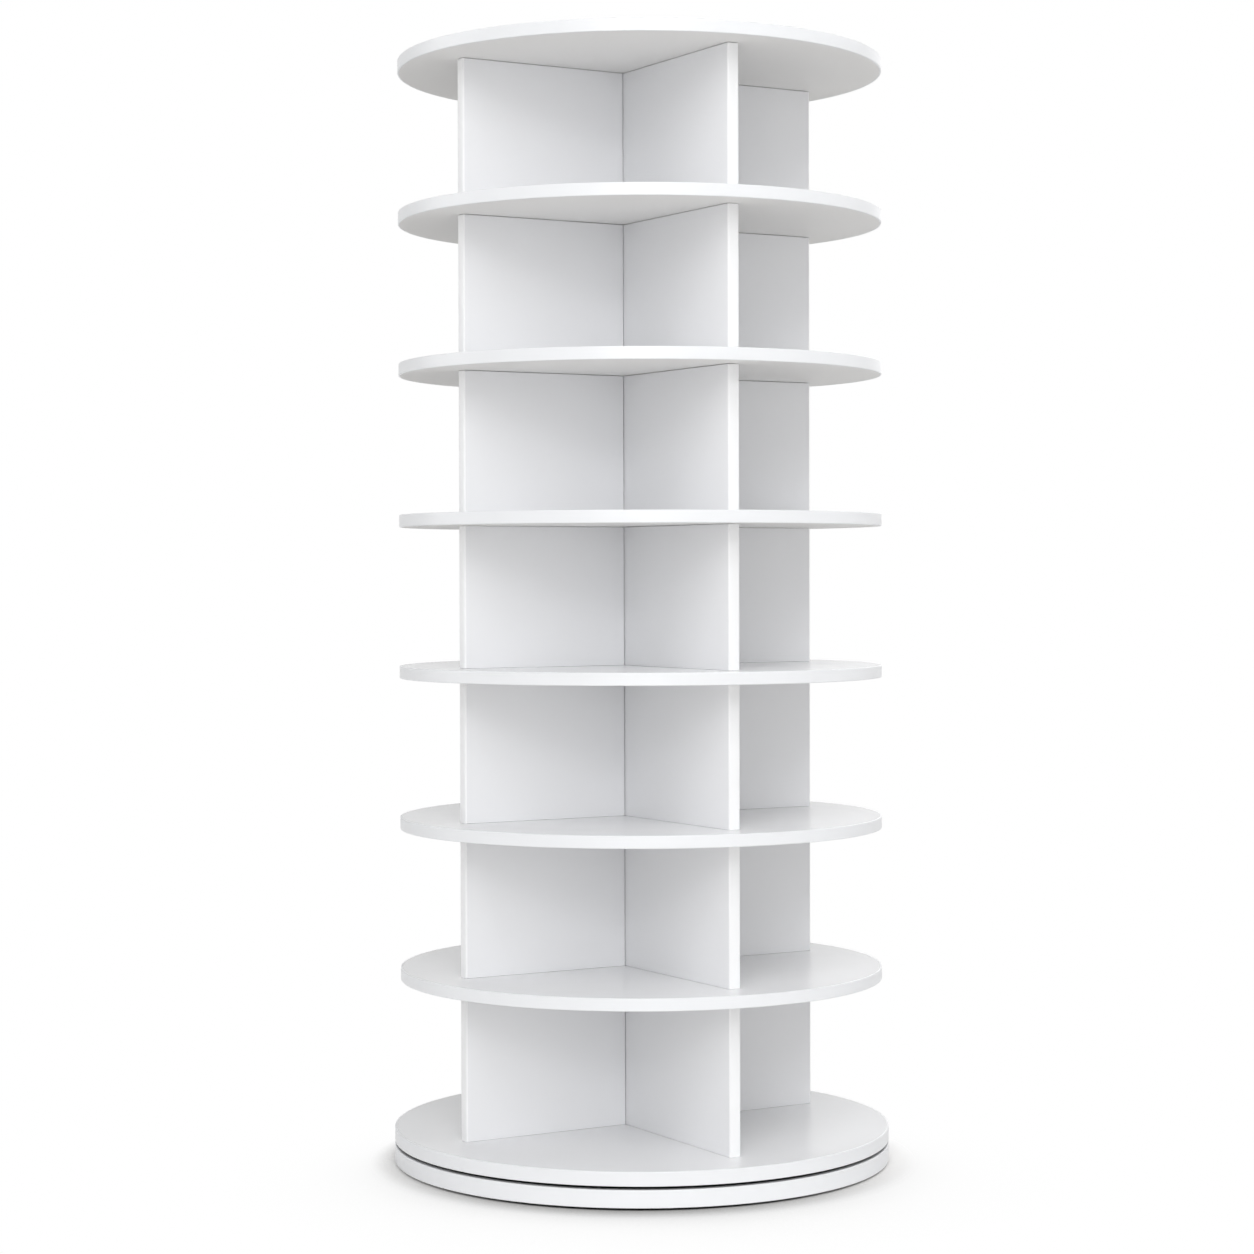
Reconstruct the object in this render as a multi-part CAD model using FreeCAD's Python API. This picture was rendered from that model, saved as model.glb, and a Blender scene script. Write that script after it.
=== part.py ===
"""Rotating shoe tower: round shelves on crossed dividers, turning on a flat ball bearing.

Frame: origin on the floor, on the axis that the tower turns about; +Z up.
The long dividers lie along X and the half dividers along Y.
Each sub-part is a solid, or a group of like solids, written to parts/NODE.step in millimetres.

The boards go together without a screw head in sight. Every divider has a tenon or two in
both edges, which drop into mortises in the discs. A half divider is housed in a groove of
the long one, and the two grooves are offset so that they don't weaken the same place.
The tower is put together upside down, from the top disc to the bottom one, with screws
through each disc into the long divider above it; the next tier then covers their heads.
"""
import FreeCAD, Part
import math
import os

# ---- driving dimensions, millimetres -------------------------------------------------------

tiers = 7
board = 15.0                # thickness of the shelves and dividers
shelf_radius = 300.0
shelf_pitch = 187.0         # from one shelf to the next
lowest_clear = 183.0        # the lowest tier is a little taller than the others

base_radius = 308.0         # the two discs at the foot
base_thickness = 21.0
bottom_thickness = 17.0
turning_gap = 4.0           # air between the base disc and the bottom disc

divider_reach = 250.0       # from the axis to the end of every divider
half_divider_offset = 20.0  # the half dividers stand this far to either side of the axis

pad_side = 30.0             # square foot pads
pad_height = 2.5
pad_circle = 270.0
pad_count = 8

# joints between the boards
tenon_height = 7.2          # inside a shelf two tenons all but meet
long_tenon_length = 80.0
long_tenon_centre = 160.0
half_tenon_length = 100.0
half_tenon_centre = 150.0
blind_mortise_depth = 7.5   # in the top disc and the bottom disc
housing_depth = 4.0         # groove in the long divider for the edge of a half divider
glue_gap = 0.1              # on each side of a tenon or a housed edge

# flat ball bearing: an outer ring on the base, an inner ring under the tower
bearing_thickness = 8.5
bearing_outer_radius = 150.0
bearing_inner_radius = 118.0
ring_height = 7.5           # less than the bearing's, so a ring clears the board it turns past
race_gap = 3.2              # between the facing walls of the two rings
race_clearance = 0.06       # between a ball and the faces it rolls on
pocket_clearance = 0.5      # around the outer ring, in the base disc
ball_circle = 134.0
ball_radius = 2.5
ball_count = 16
retainer_thickness = 1.6
retainer_margin = 0.5       # above and below the retainer
window_clearance = 0.1      # around a ball, in the retainer

# countersunk wood screws
shank_radius = 2.1
head_radius = 4.2
tip_radius = 0.5
tip_length = 4.0
hole_growth = 0.3           # a clearance hole is this much wider all round
ring_screw_length = 16.0
ring_screw_count = 4
outer_screw_circle = 143.5
inner_screw_circle = 124.5
divider_screw_length = 50.0
divider_screw_place = 60.0  # either side of the axis, along the long divider
access_hole_radius = 6.0    # through the base disc, for a screwdriver

small_sides = 8             # flat sides of the screws, their holes and the balls

# ---- values worked out from them -----------------------------------------------------------

half_board = board / 2
base_top = pad_height + base_thickness
bottom_underside = base_top + turning_gap
bottom_top = bottom_underside + bottom_thickness
bearing_floor = bottom_underside - bearing_thickness
race_level = bearing_floor + bearing_thickness / 2
outer_ring_top = bearing_floor + ring_height
inner_ring_underside = bottom_underside - ring_height
ring_screw_bite = ring_screw_length - ring_height

up = 1
down = -1
front = -1                  # towards -Y
rear = 1                    # towards +Y
both_sides = (-1, 1)


def tier_floor(tier):
    """Height of the face that a tier's dividers stand on; tier 1 is the lowest."""
    if tier == 1:
        return bottom_top
    return bottom_top + lowest_clear + board + (tier - 2) * shelf_pitch


def tier_ceiling(tier):
    """Height of the face that a tier's dividers reach up to."""
    return tier_floor(tier + 1) - board


def disc_under(tier):
    """Thickness of the disc that a tier's dividers stand on."""
    return bottom_thickness if tier == 1 else board


# ---- helpers -------------------------------------------------------------------------------

def vector(x, y, z):
    return FreeCAD.Vector(x, y, z)


def box(x_range, y_range, z_range):
    """A box between three pairs of coordinates."""
    corner = vector(x_range[0], y_range[0], z_range[0])
    sizes = [high - low for low, high in (x_range, y_range, z_range)]
    return Part.makeBox(*sizes, corner)


def spread(centre, half):
    """The pair of coordinates this far to either side of a centre."""
    return (centre - half, centre + half)


def disc(radius, underside, thickness):
    return Part.makeCylinder(radius, thickness, vector(0, 0, underside))


def turned(profile):
    """A ring about the tower's axis, from a closed outline of (radius, height) points."""
    points = [vector(radius, 0, height) for radius, height in profile]
    wire = Part.makePolygon(points + points[:1])
    return Part.Face(wire).revolve(vector(0, 0, 0), vector(0, 0, 1), 360)


def around_axis(shape, count, first_angle=0.0):
    """Copies of a shape, evenly spaced about the tower's axis."""
    copies = []
    for index in range(count):
        copy = shape.copy()
        copy.rotate(vector(0, 0, 0), vector(0, 0, 1), first_angle + 360.0 * index / count)
        copies.append(copy)
    return copies


def cut_all(shape, cutters):
    for cutter in cutters:
        shape = shape.cut(cutter)
    return shape


def faceted(sections, centre):
    """A small flat-sided solid round a vertical line through centre.

    sections are (height, radius) pairs, from low to high, each a regular polygon.
    """
    rings = []
    for height, radius in sections:
        ring = []
        for side in range(small_sides):
            angle = 2 * math.pi * side / small_sides
            ring.append(centre + vector(radius * math.cos(angle), radius * math.sin(angle), height))
        rings.append(ring)
    outlines = [rings[0], rings[-1]]
    for low, high in zip(rings, rings[1:]):
        for side in range(small_sides):
            after = (side + 1) % small_sides
            outlines.append([low[side], low[after], high[after], high[side]])
    faces = [Part.Face(Part.makePolygon(outline + outline[:1])) for outline in outlines]
    return Part.Solid(Part.Shell(faces))


# ---- screws and their holes ----------------------------------------------------------------

def countersunk(shank, head, shank_end, tip, length, start, heading):
    """The form that a screw and its clearance hole share, from the head's flat face at start."""
    sections = [(0.0, head), (head - shank, shank), (shank_end, shank), (length, tip)]
    if heading == down:
        sections = [(-height, radius) for height, radius in reversed(sections)]
    return faceted(sections, start)


def screw(length, start, heading):
    return countersunk(shank_radius, head_radius, length - tip_length, tip_radius, length, start, heading)


def clearance_hole(depth, start, heading):
    """Right through a board or ring of this depth; the shank passes freely and the head sits flush."""
    shank = shank_radius + hole_growth
    head = head_radius + hole_growth
    return countersunk(shank, head, depth, shank, depth + 1, start, heading)


def pilot_hole(depth, start, heading):
    """The hole that the screw's shank bites into, as deep as its point."""
    low, high = sorted([0.0, heading * depth])
    return faceted([(low, shank_radius), (high, shank_radius)], start)


def ring_screw_points(circle, level, first_angle):
    """Four places on a circle at one level, for the screws of a bearing ring."""
    first = Part.Vertex(circle, 0, level)
    return [place.Point for place in around_axis(first, ring_screw_count, first_angle)]


def outer_screw_points(level):
    """Between the X and Y axes, so the access hole is never over one."""
    return ring_screw_points(outer_screw_circle, level, 45.0)


def inner_screw_points(level):
    """On the X and Y axes: each comes over the access hole as the tower is turned."""
    return ring_screw_points(inner_screw_circle, level, 0.0)


def divider_screw_points(level):
    return [vector(side * divider_screw_place, 0, level) for side in both_sides]


# ---- base body -----------------------------------------------------------------------------

def base_disc():
    """The fixed disc, with a round pocket for the bearing and a hole to reach its inner screws."""
    shape = disc(base_radius, pad_height, base_thickness)
    shape = shape.cut(disc(bearing_outer_radius + pocket_clearance, bearing_floor, bearing_thickness))
    access = Part.makeCylinder(access_hole_radius, base_thickness, vector(0, -inner_screw_circle, 0))
    shape = shape.cut(access)
    pilots = [pilot_hole(ring_screw_bite, point, down) for point in outer_screw_points(bearing_floor)]
    return cut_all(shape, pilots)


def foot_pads():
    """Square pads in a ring under the rim."""
    pad = box(spread(pad_circle, pad_side / 2), spread(0, pad_side / 2), (0, pad_height))
    return around_axis(pad, pad_count, 180.0 / pad_count)


def raced_ring(facing_wall, other_wall, underside):
    """A bearing ring with a V race in the wall that faces the balls.

    The race is two 45 degree faces, each race_clearance outside the balls, so the bottom of
    the V lies sqrt(2) times that distance from the circle of the balls' centres.
    """
    outward = 1 if other_wall > ball_circle else -1
    v_bottom = ball_circle + outward * math.sqrt(2) * (ball_radius + race_clearance)
    half_mouth = abs(v_bottom - facing_wall)
    top = underside + ring_height
    walls = [(facing_wall, underside), (other_wall, underside), (other_wall, top), (facing_wall, top)]
    race_low, race_high = spread(race_level, half_mouth)
    race = [(facing_wall, race_high), (v_bottom, race_level), (facing_wall, race_low)]
    return turned(walls + race)


def bearing_outer_ring():
    """The fixed ring, which lies on the floor of the pocket."""
    ring = raced_ring(ball_circle + race_gap / 2, bearing_outer_radius, bearing_floor)
    points = outer_screw_points(outer_ring_top)
    return cut_all(ring, [clearance_hole(ring_height, point, down) for point in points])


def outer_ring_screws():
    return [screw(ring_screw_length, point, down) for point in outer_screw_points(outer_ring_top)]


# ---- ball cage body ------------------------------------------------------------------------

def ball_retainer():
    """A thin upright band between the rings, with a square window for each ball."""
    inside, outside = spread(ball_circle, retainer_thickness / 2)
    low = bearing_floor + retainer_margin
    high = bottom_underside - retainer_margin
    band = turned([(inside, low), (outside, low), (outside, high), (inside, high)])
    reach = ball_radius + window_clearance
    window = box((inside - 1, outside + 1), spread(0, reach), spread(race_level, reach))
    return cut_all(band, around_axis(window, ball_count))


def bearing_balls():
    """Steel balls, each a faceted form inside the true sphere."""
    step = math.pi / small_sides
    latitudes = [-3 * step, -step, step, 3 * step]
    sections = [(ball_radius * math.sin(angle), ball_radius * math.cos(angle)) for angle in latitudes]
    return around_axis(faceted(sections, vector(ball_circle, 0, race_level)), ball_count)


# ---- tower body ----------------------------------------------------------------------------

def bearing_inner_ring():
    """The turning ring, screwed to the underside of the bottom disc."""
    ring = raced_ring(ball_circle - race_gap / 2, bearing_inner_radius, inner_ring_underside)
    points = inner_screw_points(inner_ring_underside)
    return cut_all(ring, [clearance_hole(ring_height, point, up) for point in points])


def inner_ring_screws():
    return [screw(ring_screw_length, point, up) for point in inner_screw_points(inner_ring_underside)]


def mortises(low, high):
    """The four slots, between two heights, for the tenons of one tier's dividers."""
    across = half_board + glue_gap
    slots = []
    for side in both_sides:
        long_x = spread(side * long_tenon_centre, long_tenon_length / 2 + glue_gap)
        slots.append(box(long_x, spread(0, across), (low, high)))
        half_y = spread(side * half_tenon_centre, half_tenon_length / 2 + glue_gap)
        slots.append(box(spread(side * half_divider_offset, across), half_y, (low, high)))
    return slots


def screwed_disc(radius, underside, thickness, slots):
    """A disc with its mortises, and clearance holes for the screws into the tier above."""
    shape = cut_all(disc(radius, underside, thickness), slots)
    holes = [clearance_hole(thickness, point, up) for point in divider_screw_points(underside)]
    return cut_all(shape, holes)


def bottom_disc():
    """The turning disc at the foot: blind mortises on top, the bearing screwed on beneath."""
    slots = mortises(bottom_top - blind_mortise_depth, bottom_top)
    shape = screwed_disc(base_radius, bottom_underside, bottom_thickness, slots)
    points = inner_screw_points(bottom_underside)
    return cut_all(shape, [pilot_hole(ring_screw_bite, point, up) for point in points])


def shelf(number):
    """The shelf over tier 1, 2 and so on; its mortises go through and take tenons from both sides."""
    underside = tier_ceiling(number)
    return screwed_disc(shelf_radius, underside, board, mortises(underside, underside + board))


def top_disc():
    """Blind mortises beneath, and nothing on its upper face."""
    underside = tier_ceiling(tiers)
    slots = mortises(underside, underside + blind_mortise_depth)
    return cut_all(disc(shelf_radius, underside, board), slots)


def tenoned_board(tier, x_range, y_range, tenons):
    """A divider between two discs, with tenons standing out of its upper and lower edges."""
    low = tier_floor(tier)
    high = tier_ceiling(tier)
    shape = box(x_range, y_range, (low, high))
    for tenon_x, tenon_y in tenons:
        shape = shape.fuse(box(tenon_x, tenon_y, (low - tenon_height, high + tenon_height)))
    return shape.removeSplitter()


def long_divider(tier):
    """The board that spans the tower, with a groove on each face for a half divider."""
    low = tier_floor(tier)
    across = spread(0, half_board)
    tenons = [(spread(side * long_tenon_centre, long_tenon_length / 2), across) for side in both_sides]
    shape = tenoned_board(tier, spread(0, divider_reach), across, tenons)
    for side in both_sides:
        groove_x = spread(side * half_divider_offset, half_board + glue_gap)
        groove_y = sorted([side * half_board, side * (half_board - housing_depth)])
        shape = shape.cut(box(groove_x, groove_y, (low, tier_ceiling(tier))))
    bite = divider_screw_length - disc_under(tier)
    return cut_all(shape, [pilot_hole(bite, point, up) for point in divider_screw_points(low)])


def half_divider(tier, side):
    """The board on the front or the rear face of the long divider, housed in its groove."""
    across = spread(side * half_divider_offset, half_board)
    along = sorted([side * (half_board - housing_depth), side * divider_reach])
    tenon_y = spread(side * half_tenon_centre, half_tenon_length / 2)
    return tenoned_board(tier, across, along, [(across, tenon_y)])


def divider_screws():
    """Two screws up through every disc but the top one; the tier below covers their heads."""
    screws = []
    for tier in range(1, tiers + 1):
        points = divider_screw_points(tier_floor(tier) - disc_under(tier))
        screws += [screw(divider_screw_length, point, up) for point in points]
    return screws


# ---- all the nodes -------------------------------------------------------------------------

def all_nodes():
    """Node name to its shape, or to the list of like solids that it groups."""
    nodes = {
        "base_disc": base_disc(),
        "foot_pads": foot_pads(),
        "bearing_outer_ring": bearing_outer_ring(),
        "outer_ring_screws": outer_ring_screws(),
        "ball_retainer": ball_retainer(),
        "bearing_balls": bearing_balls(),
        "bearing_inner_ring": bearing_inner_ring(),
        "inner_ring_screws": inner_ring_screws(),
        "bottom_disc": bottom_disc(),
        "top_disc": top_disc(),
        "divider_screws": divider_screws(),
    }
    for number in range(1, tiers):
        nodes[f"shelf_{number}"] = shelf(number)
    for tier in range(1, tiers + 1):
        nodes[f"long_divider_{tier}"] = long_divider(tier)
        nodes[f"front_divider_{tier}"] = half_divider(tier, front)
        nodes[f"rear_divider_{tier}"] = half_divider(tier, rear)
    return nodes


def main():
    os.makedirs("parts", exist_ok=True)
    for name, shape in all_nodes().items():
        if isinstance(shape, list):
            shape = Part.makeCompound(shape)
        shape.exportStep(f"parts/{name}.step")


main()
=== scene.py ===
"""Finish of a rotating shoe tower, laid out as a Blender add-on.

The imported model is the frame. Every piece below takes its place from its node there, in metres,
and rides on the body that carries it. What this file adds is what the plain solids leave out:
rounded and banded board edges, the hairline joints between the boards, true balls in the
bearing, threaded screws, rounded foot pads, and a procedural finish for every surface.
"""
import math

import bpy
import numpy as np
from bpy.props import FloatProperty, FloatVectorProperty, IntProperty, PointerProperty
from mathutils import Matrix, Vector


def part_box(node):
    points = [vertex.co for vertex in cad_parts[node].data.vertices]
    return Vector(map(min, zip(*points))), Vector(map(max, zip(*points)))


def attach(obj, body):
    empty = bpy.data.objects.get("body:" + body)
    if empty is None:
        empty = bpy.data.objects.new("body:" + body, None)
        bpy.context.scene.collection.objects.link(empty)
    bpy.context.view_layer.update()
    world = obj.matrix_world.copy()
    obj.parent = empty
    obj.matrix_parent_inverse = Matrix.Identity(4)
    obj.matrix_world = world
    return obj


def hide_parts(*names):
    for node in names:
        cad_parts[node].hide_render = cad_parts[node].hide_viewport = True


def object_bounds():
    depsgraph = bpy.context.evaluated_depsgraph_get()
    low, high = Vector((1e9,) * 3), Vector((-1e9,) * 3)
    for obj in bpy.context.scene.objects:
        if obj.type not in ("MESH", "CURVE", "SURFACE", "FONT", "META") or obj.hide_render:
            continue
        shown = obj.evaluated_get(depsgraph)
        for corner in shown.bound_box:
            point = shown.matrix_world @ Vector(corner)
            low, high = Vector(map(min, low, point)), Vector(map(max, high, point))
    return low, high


bl_info = {
    "name": "Rotating shoe tower",
    "version": (1, 0, 0),
    "blender": (4, 5, 0),
    "location": "3D View > Sidebar > Shoe tower",
    "description": "Builds and finishes the boards, bearing, screws and pads of a shoe tower",
    "category": "Add Mesh",
}

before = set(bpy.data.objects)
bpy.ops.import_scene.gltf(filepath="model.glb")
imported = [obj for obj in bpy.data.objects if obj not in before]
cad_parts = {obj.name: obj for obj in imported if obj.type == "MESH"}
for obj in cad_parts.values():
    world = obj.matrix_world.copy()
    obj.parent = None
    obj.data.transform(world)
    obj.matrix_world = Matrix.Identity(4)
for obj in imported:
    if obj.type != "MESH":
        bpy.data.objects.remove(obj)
MODEL_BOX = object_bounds()
TIERS = sum(name.startswith("long_divider_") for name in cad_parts)
LEVELS = ["bottom_disc"] + [f"shelf_{n}" for n in range(1, TIERS)] + ["top_disc"]

# Meshes. A face less than FLAT metres from a height lies at it. Where two edges meet at more
# than SHARP_EDGE, the shading breaks.
FLAT = 1e-5
SHARP_EDGE = math.radians(35)
# Width of the flat row beside a rounded edge, as a share of the edge's radius.
SHADING_ROW = 0.4
# Half the width of a band's joint, as a multiple of its depth, and the place of the row beside
# it, as a multiple of that half width.
GROOVE_SPREAD = 2.0
GROOVE_ROW = 3.0
# Radius of the corners inside a housing, as a multiple of the other joint edges' radius.
HOUSING_CORNER = 1.5
# Turns round a ball and steps from pole to pole.
BALL_GRID = (24, 14)
# Rows in one turn of a screw's thread, size of its recess at the floor as a share of the mouth,
# and the least divisor in the recess's formula.
THREAD_ROWS = 4
RECESS_FLOOR = 0.5
LEAST = 1e-6
# Angle of the outer ring's first screw.
OUTER_SCREW_TURN = math.radians(45)
# Faces across a pad's rounded edges and round its corners.
PAD_EDGE_STEPS = 3
PAD_CORNER_STEPS = 6

# Surfaces. The scales are features to the metre, and the depth is in metres.
PEARL_SCALE = 1400.0
WAVE_SCALE = 45.0
CLOUD_SCALE = 5.0
WIPE_SCALE = 14.0
TONE_CHANGE = 0.02
GLOSS_CHANGE = 0.04
GRAIN_DEPTH = 0.00002

# Stage. Half the floor's side is in metres, and the width of the camera's frame in millimetres.
# SHADOW_FALL is the power by which the contact shadows fall off round the tower.
FLOOR_HALF = 20.0
FRAME_WIDTH = 36.0
SHADOW_SAMPLES = 8
SHADOW_FALL = 3.0
# Each lamp: its name, its angle to the right of the camera and above the floor, in degrees, and
# its power in watts.
LAMPS = (("front_high", 0, 35, 608), ("front_low", 0, 8, 402), ("right_top", 60, 62, 329),
         ("right_high", 60, 35, 60), ("left_low", -100, 8, 256), ("right_low", 110, 8, 95),
         ("back", 155, 20, 118))


# ---- sizes and colours that a user would change ----


class BoardSettings(bpy.types.PropertyGroup):
    """Sizes and finish of the white boards."""

    face_colour: FloatVectorProperty(
        name="Face colour", description="Colour of the melamine faces",
        size=3, min=0, max=1, subtype="COLOR", default=(0.860, 0.866, 0.884))
    band_colour: FloatVectorProperty(
        name="Disc band colour", description="Colour of the band glued round a disc",
        size=3, min=0, max=1, subtype="COLOR", default=(0.852, 0.864, 0.884))
    # Painted light: the band on a divider's outer end is far whiter than the disc bands, for the
    # light that falls on the open ends.
    lit_end_colour: FloatVectorProperty(
        name="End band colour", description="Colour of the band on a divider's outer end",
        size=3, min=0, max=1, subtype="COLOR", default=(0.94, 0.945, 0.955))
    # Painted shade: the matt sheet under a disc is warmer and darker than the faces, for the warm
    # light bounced up from the floor into the shade under the disc.
    underside_shade_colour: FloatVectorProperty(
        name="Underside colour", description="Colour of the matt sheet under a disc",
        size=3, min=0, max=1, subtype="COLOR", default=(0.862, 0.855, 0.842))
    # Painted shade: the two faces across the turning gap get a near-black sheet for the shade in
    # the narrow gap, with a white ledge left round it.
    gap_shade_colour: FloatVectorProperty(
        name="Backing colour", description="Colour of the two faces across the turning gap",
        size=3, min=0, max=1, subtype="COLOR", default=(0.02, 0.02, 0.021))
    gap_shade_margin: FloatProperty(
        name="Backing margin", description="Width of the white ledge left round the dark backing",
        min=0.003, max=0.02, precision=4, unit="LENGTH", default=0.009)
    face_roughness: FloatProperty(
        name="Face roughness", description="Roughness of the glossy faces",
        min=0, max=1, subtype="FACTOR", default=0.22)
    band_roughness: FloatProperty(
        name="Band roughness", description="Roughness of the edge bands",
        min=0, max=1, subtype="FACTOR", default=0.3)
    disc_rounding: FloatProperty(
        name="Disc rounding", description="Radius of the rounded edges of a disc",
        min=0.0001, max=0.003, precision=4, unit="LENGTH", default=0.001)
    end_rounding: FloatProperty(
        name="End rounding", description="Radius of the upright edges at a divider's outer end",
        min=0.001, max=0.005, precision=4, unit="LENGTH", default=0.002)
    joint_rounding: FloatProperty(
        name="Joint rounding", description="Radius of the divider edges that meet another board",
        min=0.0001, max=0.001, precision=4, unit="LENGTH", default=0.00035)
    head_gap: FloatProperty(
        name="Head joint gap", description="Hairline between a divider and the disc over it",
        min=0, max=0.001, precision=5, unit="LENGTH", default=0.0006)
    foot_gap: FloatProperty(
        name="Foot joint gap", description="Hairline between a divider and the disc under it",
        min=0, max=0.001, precision=5, unit="LENGTH", default=0.00015)
    housing_gap: FloatProperty(
        name="Housing gap", description="Hairline either side of a half divider in its housing",
        min=0, max=0.001, precision=5, unit="LENGTH", default=0.0008)
    mouth_rounding: FloatProperty(
        name="Housing mouth rounding", description="Radius of the edges of a housing",
        min=0.0001, max=0.002, precision=4, unit="LENGTH", default=0.0002)
    band_width: FloatProperty(
        name="Edge band thickness", description="Distance from an edge to the joint of its band",
        min=0.0015, max=0.004, precision=4, unit="LENGTH", default=0.002)
    band_groove: FloatProperty(
        name="Band joint depth", description="Depth of the fine line where band and face meet",
        min=0, max=0.0005, precision=5, unit="LENGTH", default=0.00008)
    disc_segments: IntProperty(
        name="Disc segments", description="Points round a disc",
        min=64, max=1024, default=384)
    rounding_steps: IntProperty(
        name="Rounding steps", description="Faces across a rounded edge",
        min=2, max=12, default=5)


class BearingSettings(bpy.types.PropertyGroup):
    """Sizes and finish of the bearing."""

    ball_diameter: FloatProperty(
        name="Ball diameter", description="Diameter of a bearing ball",
        min=0.001, max=0.02, precision=4, unit="LENGTH", default=0.005)
    ball_circle: FloatProperty(
        name="Ball circle", description="Radius of the circle that the balls stand on",
        min=0.02, max=0.3, precision=4, unit="LENGTH", default=0.134)
    ball_count: IntProperty(
        name="Balls", description="Number of balls in the retainer", min=3, max=64, default=16)
    pocket_clearance: FloatProperty(
        name="Pocket clearance", description="Room round the outer ring in its pocket",
        min=0, max=0.002, precision=4, unit="LENGTH", default=0.0005)
    access_hole: FloatProperty(
        name="Access hole", description="Diameter of the hole for a screwdriver in the base",
        min=0.002, max=0.03, precision=4, unit="LENGTH", default=0.012)
    access_circle: FloatProperty(
        name="Access circle", description="Distance of the access hole from the tower's axis",
        min=0.02, max=0.3, precision=4, unit="LENGTH", default=0.1245)
    ring_colour: FloatVectorProperty(
        name="Ring colour", description="Turned aluminium of the two rings",
        size=3, min=0, max=1, subtype="COLOR", default=(0.72, 0.73, 0.75))
    ball_colour: FloatVectorProperty(
        name="Ball colour", description="Polished steel of the balls",
        size=3, min=0, max=1, subtype="COLOR", default=(0.75, 0.75, 0.76))
    retainer_colour: FloatVectorProperty(
        name="Retainer colour", description="Moulded plastic of the ball retainer",
        size=3, min=0, max=1, subtype="COLOR", default=(0.80, 0.80, 0.77))


class HardwareSettings(bpy.types.PropertyGroup):
    """Sizes and finish of the screws and the foot pads."""

    head_radius: FloatProperty(
        name="Head radius", description="Radius of a countersunk head",
        min=0.002, max=0.01, precision=4, unit="LENGTH", default=0.0042)
    shank_radius: FloatProperty(
        name="Shank radius", description="Radius of the plain shank under the head",
        min=0.001, max=0.005, precision=4, unit="LENGTH", default=0.0021)
    core_radius: FloatProperty(
        name="Core radius", description="Radius at the bottom of the thread",
        min=0.0005, max=0.005, precision=4, unit="LENGTH", default=0.0014)
    tip_radius: FloatProperty(
        name="Tip radius", description="Radius of the blunted point",
        min=0.0001, max=0.002, precision=4, unit="LENGTH", default=0.0003)
    tip_length: FloatProperty(
        name="Tip length", description="Length of the tapered point",
        min=0.001, max=0.01, precision=4, unit="LENGTH", default=0.004)
    thread_pitch: FloatProperty(
        name="Thread pitch", description="Rise of the thread in one turn",
        min=0.0005, max=0.004, precision=4, unit="LENGTH", default=0.002)
    thread_share: FloatProperty(
        name="Threaded share", description="Share of a screw's length that is threaded",
        min=0, max=1, subtype="FACTOR", default=0.62)
    recess_reach: FloatProperty(
        name="Recess reach", description="From the middle of the head to the end of a recess arm",
        min=0.0005, max=0.004, precision=4, unit="LENGTH", default=0.0023)
    recess_half_width: FloatProperty(
        name="Recess half width", description="Half the width of an arm of the cross recess",
        min=0.0002, max=0.002, precision=4, unit="LENGTH", default=0.0006)
    recess_depth: FloatProperty(
        name="Recess depth", description="Depth of the cross recess",
        min=0.0005, max=0.004, precision=4, unit="LENGTH", default=0.0018)
    screw_segments: IntProperty(
        name="Screw segments", description="Points round a screw", min=8, max=64, default=24)
    outer_screw_circle: FloatProperty(
        name="Outer screw circle", description="Radius of the circle of the outer ring's screws",
        min=0.02, max=0.3, precision=4, unit="LENGTH", default=0.1435)
    inner_screw_circle: FloatProperty(
        name="Inner screw circle", description="Radius of the circle of the inner ring's screws",
        min=0.02, max=0.3, precision=4, unit="LENGTH", default=0.1245)
    ring_screw_count: IntProperty(
        name="Ring screws", description="Number of screws in a ring", min=2, max=12, default=4)
    divider_screw_place: FloatProperty(
        name="Divider screw place", description="From the tower's axis to a divider's screw",
        min=0.02, max=0.2, precision=4, unit="LENGTH", default=0.06)
    pad_side: FloatProperty(
        name="Pad side", description="Side of a square foot pad",
        min=0.01, max=0.1, precision=4, unit="LENGTH", default=0.03)
    pad_circle: FloatProperty(
        name="Pad circle", description="Radius of the circle that the pads stand on",
        min=0.02, max=0.4, precision=4, unit="LENGTH", default=0.27)
    pad_count: IntProperty(
        name="Pads", description="Number of foot pads", min=3, max=16, default=8)
    pad_corner: FloatProperty(
        name="Pad corner", description="Radius of a pad's corners, seen from below",
        min=0.0005, max=0.01, precision=4, unit="LENGTH", default=0.003)
    pad_rounding: FloatProperty(
        name="Pad rounding", description="Radius of a pad's rounded edges",
        min=0.0001, max=0.001, precision=4, unit="LENGTH", default=0.0005)
    steel_colour: FloatVectorProperty(
        name="Steel colour", description="Zinc-plated steel of the screws",
        size=3, min=0, max=1, subtype="COLOR", default=(0.62, 0.62, 0.60))
    pad_colour: FloatVectorProperty(
        name="Pad colour", description="Rubber of the foot pads",
        size=3, min=0, max=1, subtype="COLOR", default=(0.03, 0.03, 0.032))


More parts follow.
